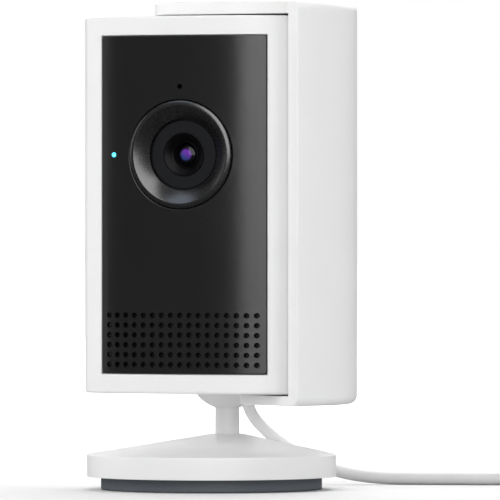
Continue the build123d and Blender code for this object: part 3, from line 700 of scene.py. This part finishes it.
def dress(finish: Finish, *nodes: str) -> None:
    """Gives CAD nodes a finish through their objects' material slots.

    Args:
        finish: The finish to give.
        nodes: Names of CAD nodes.
    """
    for name in nodes:
        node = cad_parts[name]
        if not node.material_slots:
            node.data.materials.append(finish.material())
        for slot in node.material_slots:
            slot.link = "OBJECT"
            slot.material = finish.material()
        log.info("node %s: %s", name, finish.name)


def finish_piece(
    piece: bpy.types.Object, finish: Finish, body: Body | None, replaces: Iterable[str] = ()
) -> bpy.types.Object:
    """Gives a new piece its finish, its body and the nodes it stands for.

    Args:
        piece: The new mesh object.
        finish: Its finish.
        body: The body it rides on, or None for a piece that lies between two and rides on neither.
        replaces: CAD nodes that it stands for.

    Returns:
        The same object.
    """
    piece.data.materials.clear()
    piece.data.materials.append(finish.material())
    if body is not None:
        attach(piece, body.value)
    if replaces:
        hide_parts(*replaces)
    log.info("piece %s: %d faces", piece.name, len(piece.data.polygons))
    return piece


# Studio


@dataclass(frozen=True)
class SoftBox:
    """One soft studio light.

    Args:
        name: Its name.
        azimuth: Degrees from the front towards +X.
        elevation: Degrees above the horizon.
        distance: Metres from the object.
        size: Width and height in metres.
        power: Watts.
        colour: Linear colour.
        in_gloss: Whether glossy surfaces reflect it.
        in_diffuse: Whether it lights matt surfaces.
    """

    name: str
    azimuth: float
    elevation: float
    distance: float
    size: tuple[float, float]
    power: float
    colour: Colour = (1.0, 1.0, 1.0)
    in_gloss: bool = True
    in_diffuse: bool = True

    def build(self, target: Vector) -> None:
        """Adds the light, aimed at a target."""
        a, e = math.radians(self.azimuth), math.radians(self.elevation)
        away = Vector((math.sin(a) * math.cos(e), -math.cos(a) * math.cos(e), math.sin(e)))
        bpy.ops.object.light_add(type="AREA", location=target + away * self.distance)
        light = bpy.context.object
        light.name = self.name
        light.rotation_euler = (-away).to_track_quat("-Z", "Y").to_euler()
        light.data.shape = "RECTANGLE"
        light.data.size, light.data.size_y = self.size
        light.data.energy = self.power
        light.data.color = self.colour
        light.visible_glossy = self.in_gloss
        light.visible_diffuse = self.in_diffuse
        log.info("light %s: %.1f W", self.name, self.power)


@dataclass
class Studio:
    """Camera, pale floor, soft boxes and a pale surround."""

    camera_place: Point = (0.3556 * 1.46, -0.9346 * 1.46, 0.0547)
    camera_target: Point = (0.0071, 0.0027, 0.0472)
    lens: float = 532.9
    surround: float = 0.1
    floor_return: float = 0.62
    floor_gloss: float = 0.06
    boxes: tuple[SoftBox, ...] = (
        SoftBox("soft_left", -36.0, 20.0, 1.5, (1.2, 1.2), 13.0, in_gloss=False),
        SoftBox("soft_front", 6.0, 24.0, 1.5, (1.0, 1.0), 4.0, in_gloss=False),
        SoftBox("side_right", 82.0, 6.0, 1.4, (0.9, 1.2), 13.0, in_gloss=False),
        SoftBox("side_left", -110.0, 20.0, 1.5, (1.0, 1.2), 6.0, in_gloss=False),
        SoftBox("soft_back", 205.0, 25.0, 1.6, (1.4, 1.4), 8.0, in_gloss=False),
        SoftBox("overhead_back", 150.0, 66.0, 1.6, (1.4, 1.4), 14.5, in_gloss=False),
        SoftBox("gloss_right", 27.0, 24.0, 1.4, (1.3, 2.0), 18.0, in_diffuse=False),
        SoftBox("gloss_back", 195.0, 35.0, 1.6, (2.2, 1.4), 18.0, in_diffuse=False),
        SoftBox("gloss_left", -74.0, 6.0, 1.5, (0.6, 1.2), 1.6, in_diffuse=False),
        SoftBox("gloss_cool", -50.0, 62.0, 1.5, (0.9, 0.6), 1.6, (0.8, 0.9, 1.1), in_diffuse=False),
    )

    def build(self) -> None:
        """Builds the camera first, then the floor and the lights."""
        self.build_camera()
        self.build_floor()
        for box in self.boxes:
            box.build(Vector((0, 0, 0.05)))
        self.build_surround()

    def build_camera(self) -> None:
        """Camera at the viewing angle, with a long lens."""
        bpy.ops.object.camera_add(location=self.camera_place)
        camera = bpy.context.object
        camera.name = "camera"
        ahead = Vector(self.camera_target) - Vector(self.camera_place)
        camera.rotation_euler = ahead.to_track_quat("-Z", "Y").to_euler()
        camera.data.lens = self.lens
        camera.data.sensor_width = 36.0
        camera.data.clip_start, camera.data.clip_end = 0.1, 50.0
        bpy.context.scene.camera = camera
        bpy.context.scene.view_settings.view_transform = "Standard"

    def build_floor(self) -> None:
        """Plain pale floor, which throws little light back and fades to white further out."""
        bpy.ops.mesh.primitive_plane_add(size=12.0, location=(0, 0, 0))
        floor = named(bpy.context.object, "floor")
        material = bpy.data.materials.new("pale_floor")
        material.use_nodes = True
        shader = material.node_tree.nodes["Principled BSDF"]
        graph = Graph(material.node_tree)
        path = graph.add("ShaderNodeLightPath")
        seen = path.outputs["Is Camera Ray"]
        reach = graph.add("ShaderNodeVectorMath", {"operation": "LENGTH"})
        graph.feed(reach.inputs[0], graph.add("ShaderNodeTexCoord").outputs["Object"])
        far = graph.between(reach.outputs["Value"], 0.1, 0.7, 0.0, 1.0)
        back = graph.between(path.outputs["Is Glossy Ray"], 0.0, 1.0, self.floor_return, self.floor_gloss)
        graph.feed(shader.inputs["Base Color"], graph.between(seen, 0.0, 1.0, back, 0.95))
        graph.feed(shader.inputs["Emission Strength"], graph.maths("MULTIPLY", seen, far))
        shader.inputs["Emission Color"].default_value = (1.0, 1.0, 1.0, 1.0)
        shader.inputs["Roughness"].default_value = 0.8
        shader.inputs["Specular IOR Level"].default_value = 0.1
        floor.data.materials.append(material)

    def build_surround(self) -> None:
        """White surround that lights less than it shows."""
        world = bpy.data.worlds.new("surround")
        bpy.context.scene.world = world
        world.use_nodes = True
        world.node_tree.nodes.clear()
        graph = Graph(world.node_tree)
        seen = graph.add("ShaderNodeLightPath").outputs["Is Camera Ray"]
        strength = graph.between(seen, 0.0, 1.0, self.surround, 1.0)
        light = graph.add("ShaderNodeBackground", Color=(1.0, 1.0, 1.0), Strength=strength)
        end = graph.add("ShaderNodeOutputWorld")
        world.node_tree.links.new(light.outputs[0], end.inputs[0])


# Power lead


@dataclass
class LeadSizes:
    """Sizes of the power lead in millimetres, and the points of its route."""

    diameter: float = 2.4
    route: tuple[Point, ...] = (
        (-0.6, 21.2, 17.3),
        (-0.4, 21.85, 15.6),
        (0.52, 23.1, 13.2),
        (2.44, 25.65, 10.4),
        (5.42, 28.5, 7.4),
        (9.7, 31.3, 4.5),
        (15.43, 33.7, 2.2),
        (22.63, 35.55, 1.22),
        (31.13, 37.4, 1.2),
        (40.5, 39.75, 1.2),
        (50.6, 42.75, 1.2),
        (61.0, 46.35, 1.2),
        (70.8, 50.05, 1.2),
    )
    coil_x: float = 77.73
    coil_y: float = 31.93
    coil_turn: float = 20.9
    coil_r: float = 19.4
    coil_pitch: float = 2.45
    per_turn: int = 16
    tail: tuple[tuple[float, float, float], ...] = (
        (19.6, 102, 8.6),
        (21.6, 76, 8.3),
        (23.3, 48, 6.6),
        (23.5, 20, 4.2),
        (23.3, -8, 2.0),
        (23.0, -34, 1.2),
    )
    tail_steps: tuple[tuple[float, float], ...] = ((5.5, 1.7), (10.5, 2.8), (15.5, 3.7))
    length: float = 1850.0
    roll_end_z: float = 15.4
    tilt_end_z: float = 9.0
    floor_z: float = 1.9
    plug_y: float = 20.3


@dataclass
class PowerLead:
    """The lead: a tapered relief, two short lengths at the ball, the long length and its plug."""

    sizes: LeadSizes = field(default_factory=LeadSizes)
    sides: int = 14

    def coil_point(self, r: float, degrees: float, z: float) -> Point:
        """Point about the coil's middle, in millimetres."""
        turn = math.radians(degrees + self.sizes.coil_turn)
        return (self.sizes.coil_x + r * math.cos(turn), self.sizes.coil_y + r * math.sin(turn), z)

    def coil_points(self) -> list[Point]:
        """Turns of the coil: four layers of five columns.

        Each layer steps one column aside once a turn, and the steps and climbs of neighbouring
        layers lie one after another round the coil, so that the turns never cross at one height.

        Returns:
            Points from the lead's entry to the start of the tail.
        """
        s = self.sizes
        moves: list[tuple[float, float, float]] = []
        layers = ((0, 270, 1665), (5, 180, 3375), (10, 90, 5085), (15, 0, None))
        for layer, (first, aside, climb) in enumerate(layers):
            way = -1 if layer % 2 == 0 else 1
            moves += [(360.0 * (first + k) + aside, way * s.coil_pitch, 0.0) for k in range(4)]
            if climb is not None:
                moves.append((float(climb), 0.0, s.coil_pitch))
        points = []
        step = 360.0 / s.per_turn
        for index in range(1, 19 * s.per_turn):
            wound = index * step
            r, z = s.coil_r, s.diameter / 2
            for at, out, up in moves:
                share = min(1.0, max(0.0, (wound - at) / 45.0))
                r += out * share
                z += up * share
            points.append(self.coil_point(r, 90.0 - wound, z))
        return points

    def tail_points(self) -> list[Point]:
        """Points from the coil's top down to the plug."""
        s = self.sizes
        points = [self.coil_point(*p) for p in s.tail]
        turn = math.radians(s.coil_turn - 34)
        x, y, _ = points[-1]
        return points + [(x + d * math.sin(turn), y - d * math.cos(turn), z) for d, z in s.tail_steps]

    def centreline(self) -> list[Vector]:
        """The lead's line, read from one open spline through all its points' control polygon."""
        points = [*self.sizes.route, *self.coil_points(), *self.tail_points()]
        curve = bpy.data.curves.new("lead_line", "CURVE")
        curve.dimensions = "3D"
        spline = curve.splines.new("NURBS")
        spline.points.add(len(points) - 1)
        for spot, (x, y, z) in zip(spline.points, points):
            spot.co = (x * MM, y * MM, z * MM, 1.0)
        spline.order_u = 3
        spline.use_endpoint_u = True
        spline.resolution_u = 5
        holder = bpy.data.objects.new("lead_line", curve)
        bpy.context.scene.collection.objects.link(holder)
        mesh = bpy.data.meshes.new_from_object(holder)
        line = [v.co.copy() for v in mesh.vertices]
        bpy.data.objects.remove(holder)
        bpy.data.meshes.remove(mesh)
        return line

    def rings(self, line: list[Vector]) -> list[list[Vector]]:
        """Rings of points square to a line, with no twist between them."""
        radius = self.sizes.diameter / 2 * MM
        side = (line[1] - line[0]).orthogonal().normalized()
        made = []
        for index, spot in enumerate(line):
            ahead = (line[min(index + 1, len(line) - 1)] - line[max(index - 1, 0)]).normalized()
            side = (side - ahead * side.dot(ahead)).normalized()
            up = ahead.cross(side)
            turns = [2 * math.pi * k / self.sides for k in range(self.sides)]
            made.append([spot + radius * (side * math.cos(t) + up * math.sin(t)) for t in turns])
        return made

    def tube(self, name: str, rings: list[list[Vector]]) -> bpy.types.Object:
        """Closed tube through rings of points."""
        n = self.sides
        verts = [tuple(v) for ring in rings for v in ring]
        faces: list[tuple[int, ...]] = []
        for row in range(len(rings) - 1):
            for k in range(n):
                a, b = row * n + k, row * n + (k + 1) % n
                faces.append((a, b, b + n, a + n))
        faces.append(tuple(reversed(range(n))))
        faces.append(tuple(range((len(rings) - 1) * n, len(rings) * n)))
        mesh = bpy.data.meshes.new(name)
        mesh.from_pydata(verts, [], faces)
        mesh.validate()
        piece = bpy.data.objects.new(name, mesh)
        bpy.context.scene.collection.objects.link(piece)
        activate(piece)
        bpy.ops.object.shade_smooth_by_angle(angle=math.radians(50))
        return piece

    def first_below(self, line: list[Vector], z: float) -> int:
        """Index of the line's first point below a height in millimetres."""
        return next(i for i, p in enumerate(line) if p.z < z * MM)

    def build_relief(self) -> bpy.types.Object:
        """Flat plug body whose underside is drawn out into a tapered, ringed relief."""
        s = self.sizes
        low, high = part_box("power_plug")
        start, after = (Vector(p) * MM for p in s.route[:2])
        ahead = (after - start).normalized()
        root = start - ahead * 0.1 * MM
        bpy.ops.mesh.primitive_cylinder_add(vertices=40, radius=1.25 * MM, depth=0.25 * MM, location=root)
        piece = named(bpy.context.object, "lead_relief")
        piece.rotation_euler = (-ahead).to_track_quat("Z", "Y").to_euler()
        activate(piece)
        bpy.ops.object.transform_apply(location=True, rotation=True, scale=True)
        with editing(piece):
            pick_faces(piece, lambda c, n: n.dot(-ahead) > 0.9)
            for grow, rise in ((1.09, 0.05), (1.0, 0.42), (0.9, 0.05), (1.0, 0.2), (1.13, 0.05)) * 4:
                move = {"value": tuple(-ahead * rise * MM)}
                bpy.ops.mesh.extrude_region_move(TRANSFORM_OT_translate=move)
                bpy.ops.transform.resize(value=(grow, grow, grow))
        settle(piece)
        bpy.ops.mesh.primitive_cube_add(size=1.0, location=((low.x + high.x) / 2, s.plug_y * MM, high.z - 2.8 * MM))
        grip = named(bpy.context.object, "plug_grip")
        grip.scale = (6.2 * MM, 3.2 * MM, 5.4 * MM)
        settle(grip)
        apply_bevel(grip, 0.9 * MM, 4)
        activate(piece)
        grip.select_set(True)
        bpy.ops.object.join()
        return settle(piece)

    def build_tie(self) -> bpy.types.Object:
        """Soft strap round the wound turns, its loose end laid over the top; it presses into the lowest turns."""
        s = self.sizes
        low, high = s.coil_r - 4 * s.coil_pitch - s.diameter / 2 - 0.25, s.coil_r + s.diameter / 2 + 0.25
        top = s.diameter + 3 * s.coil_pitch + 0.2
        bpy.ops.mesh.primitive_cube_add(size=1.0, location=(0, 0, 0))
        strap = named(bpy.context.object, "lead_tie")
        strap.scale = ((high - low) * MM, 6.5 * MM, (top - 0.6) * MM)
        strap.location = ((low + high) / 2 * MM, 0, (top + 0.6) / 2 * MM)
        settle(strap)
        with editing(strap):
            pick_faces(strap, lambda c, n: abs(n.y) > 0.9)
            bpy.ops.mesh.delete(type="ONLY_FACE")
            pick_edges(strap, lambda a, b: abs(b.y - a.y) > 5 * MM)
            bpy.ops.mesh.bevel(offset=1.1 * MM, segments=5, affect="EDGES")
            bpy.ops.mesh.select_all(action="SELECT")
            bpy.ops.mesh.subdivide(number_cuts=1)
        activate(strap)
        strap.modifiers.new("thickness", "SOLIDIFY").thickness = 0.55 * MM
        strap.modifiers["thickness"].offset = 1.0
        bpy.ops.object.modifier_apply(modifier="thickness")
        bpy.ops.mesh.primitive_cube_add(size=1.0, location=((low + high) / 2 * MM, 0, (top + 0.8) * MM))
        end = named(bpy.context.object, "tie_end")
        end.scale = (7.5 * MM, 6.1 * MM, 0.5 * MM)
        settle(end)
        apply_bevel(end, 0.2 * MM, 2)
        activate(strap)
        end.select_set(True)
        bpy.ops.object.join()
        turn = math.radians(s.coil_turn + 200)
        strap.rotation_euler = (0, 0, turn)
        strap.location = (s.coil_x * MM, s.coil_y * MM, 0)
        return settle(strap)

    def build(self) -> None:
        s = self.sizes
        line = self.centreline()
        rings = self.rings(line)
        roll_end = self.first_below(line, s.roll_end_z)
        tilt_end = self.first_below(line, s.tilt_end_z)
        roll = self.tube("lead_roll_length", rings[: roll_end + 1])
        tilt = self.tube("lead_tilt_length", rings[roll_end : tilt_end + 1])
        cord = self.tube("power_lead", rings[tilt_end:])
        finish_piece(roll, CORD_WHITE, None)
        finish_piece(tilt, CORD_WHITE, None)
        finish_piece(cord, CORD_WHITE, None, ("power_cord", "power_cord_coil"))
        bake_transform(roll)
        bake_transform(tilt)
        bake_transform(cord)
        relief = finish_piece(self.build_relief(), PLUG_WHITE, Body.HEAD, ("power_plug",))
        tie = finish_piece(self.build_tie(), TIE_GREY, Body.STAND)
        dress(PLUG_WHITE, "usb_plug_body")
        dress(PLATE_STEEL, "usb_plug_shell")


# The object's sub-assemblies


@dataclass
class Stand:
    """Rubber foot, weighted base, neck and ball."""

    def dress(self) -> None:
        """Finishes of the stand's CAD nodes."""
        dress(WHITE_SHELL, "base_cover")
        dress(NECK_WHITE, "neck_post", "joint_ball")
        dress(FOOT_RUBBER, "foot_pad")
        dress(DARK_STEEL, "base_weight", "neck_stud", "neck_nut")
        dress(SCREW_STEEL, "base_screws")
        dress(NYLON, "base_plate")


@dataclass
class BallJoint:
    """Shells, seat, spring and clamp that hold the ball inside the head."""

    def dress(self) -> None:
        """Finishes of the joint's CAD nodes."""
        dress(NYLON, "ball_liner", "pressure_cup", "socket_seat")
        dress(SCREW_STEEL, "cup_spring", "clamp_screws")
        dress(PLATE_STEEL, "clamp_plate")


@dataclass
class Head:
    """White housing, rear cover, black faceplate and setup button."""

    def dress(self) -> None:
        """Finishes of the head's CAD nodes."""
        dress(WHITE_SHELL, "front_housing", "rear_cover", "setup_button")
        dress(FACE_BLACK, "faceplate")
        dress(NYLON, "pivot_bushes")
        dress(PLATE_STEEL, "power_socket")


@dataclass
class LensSizes:
    """Profiles of the lens parts: radius and place along Y, in millimetres."""

    ring: tuple[tuple[float, float], ...] = (
        (10.6, -17.2), (10.56, -17.3), (10.46, -17.4), (10.28, -17.5), (10.08, -17.58), (9.88, -17.63),
        (9.72, -17.65), (9.6, -17.63), (9.5, -17.57),
        (7.06, -15.68), (7.0, -15.6), (7.0, -14.6), (11.6, -14.6), (11.6, -15.2), (10.6, -15.2), (10.6, -17.2),
    )
    disc: tuple[tuple[float, float], ...] = (
        (4.28, -15.04), (4.34, -15.1), (6.58, -15.1), (6.66, -15.04), (6.7, -14.8), (6.94, -14.8),
        (6.94, -14.4), (4.28, -14.4), (4.28, -15.04),
    )
    bowl: tuple[tuple[float, float], ...] = (
        (4.25, -15.05), (4.16, -15.1), (4.05, -15.08), (3.7, -14.92), (3.3, -14.7), (2.95, -14.43), (2.72, -14.22),
        (2.66, -14.2), (2.6, -14.34), (2.52, -14.36), (2.45, -14.33), (2.41, -14.2), (2.41, -13.6),
        (4.25, -13.6), (4.25, -15.05),
    )
    dome: tuple[tuple[float, float], ...] = (
        (0.0, -14.2), (0.25, -14.19), (0.5, -14.16), (0.75, -14.11), (1.0, -14.04), (1.3, -13.92),
        (1.6, -13.77), (1.85, -13.61), (2.1, -13.42),
        (2.28, -13.24), (2.37, -13.1), (2.37, -12.6), (0.0, -12.6),
    )


@dataclass
class LensModule:
    """Lens ring, disc, bowl, front lens, barrel, inner lenses and holder."""

    sizes: LensSizes = field(default_factory=LensSizes)

    def build(self) -> None:
        """Spins the parts that show, and dresses the others."""
        spot = middle("lens_ring")
        centre = Vector((spot.x, 0.0, spot.z))
        s = self.sizes
        # Front lens colour is a painted reflection of its coating: violet in the middle, blue at one side.
        painted_reflection_lens = PaintedReflectionLens("lens_painted_reflection", (0.16, 0.03, 0.42), 0.12, centre=tuple(centre))
        ring = turned("lens_ring_turned", s.ring, centre, Axis.Y, 128)
        finish_piece(ring, RING_BLACK, Body.HEAD, ("lens_ring",))
        disc = turned("lens_disc_turned", s.disc, centre, Axis.Y)
        finish_piece(disc, LENS_BLACK, Body.HEAD, ("lens_disc",))
        bowl = turned("lens_bowl_turned", s.bowl, centre, Axis.Y)
        finish_piece(bowl, BOWL_BLACK, Body.HEAD, ("lens_bowl",))
        dome = turned("front_lens_domed", s.dome, centre, Axis.Y)
        finish_piece(dome, painted_reflection_lens, Body.HEAD, ("front_lens",))
        self.dress()

    def dress(self) -> None:
        """Finishes of the lens's CAD nodes."""
        clear = Glass("lens_glass", (0.9, 0.92, 1.0), 0.02, ior=1.6, coat_tint=(0.55, 0.5, 1.0))
        dress(INNER_BLACK, "lens_barrel", "lens_holder")
        dress(clear, "rear_lenses", "infrared_cut_filter")


@dataclass
class Electronics:
    """Boards, chips, speaker, microphone and metalwork inside the head."""

    def dress(self) -> None:
        """Finishes of the inner CAD nodes."""
        low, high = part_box("light_pipe")
        tip = ((low.x + high.x) / 2, low.y, (low.z + high.z) / 2)
        dress(Glow("light_pipe_clear", (0.02, 0.62, 0.86), 0.15, strength=2.2, centre=tip), "light_pipe")
        dress(BOARD, "sensor_board", "front_board", "main_board", "button_board", "antenna")
        dress(CHIP, "processor", "radio_module", "hall_sensor", "image_sensor", "tact_switch")
        dress(CHIP, "infrared_lights", "status_light", "microphone")
        dress(PLATE_STEEL, "shield_can")
        dress(SPREADER, "heat_spreader")
        dress(GASKET, "microphone_gasket", "speaker_gasket")
        dress(MESH_BLACK, "speaker_mesh")
        dress(CONE_PAPER, "speaker", "speaker_cone")
        dress(FLEX, "flex_cable")
        dress(SCREW_STEEL, "board_screws")


@dataclass
class PrivacyCover:
    """Curved cover that swings round the head on its pin."""

    def dress(self) -> None:
        """Finishes of the cover's CAD nodes."""
        dress(WHITE_SHELL, "cover_shell")
        dress(SCREW_STEEL, "pivot_pin", "cover_magnet")


def main() -> None:
    """Builds the studio, then the object's sub-assemblies in order."""
    logging.basicConfig(level=logging.INFO, format="%(name)s: %(message)s")
    deselect_all()
    Studio().build()
    PowerLead().build()
    Stand().dress()
    BallJoint().dress()
    Head().dress()
    LensModule().build()
    Electronics().dress()
    PrivacyCover().dress()


if __name__ == "__main__":
    main()
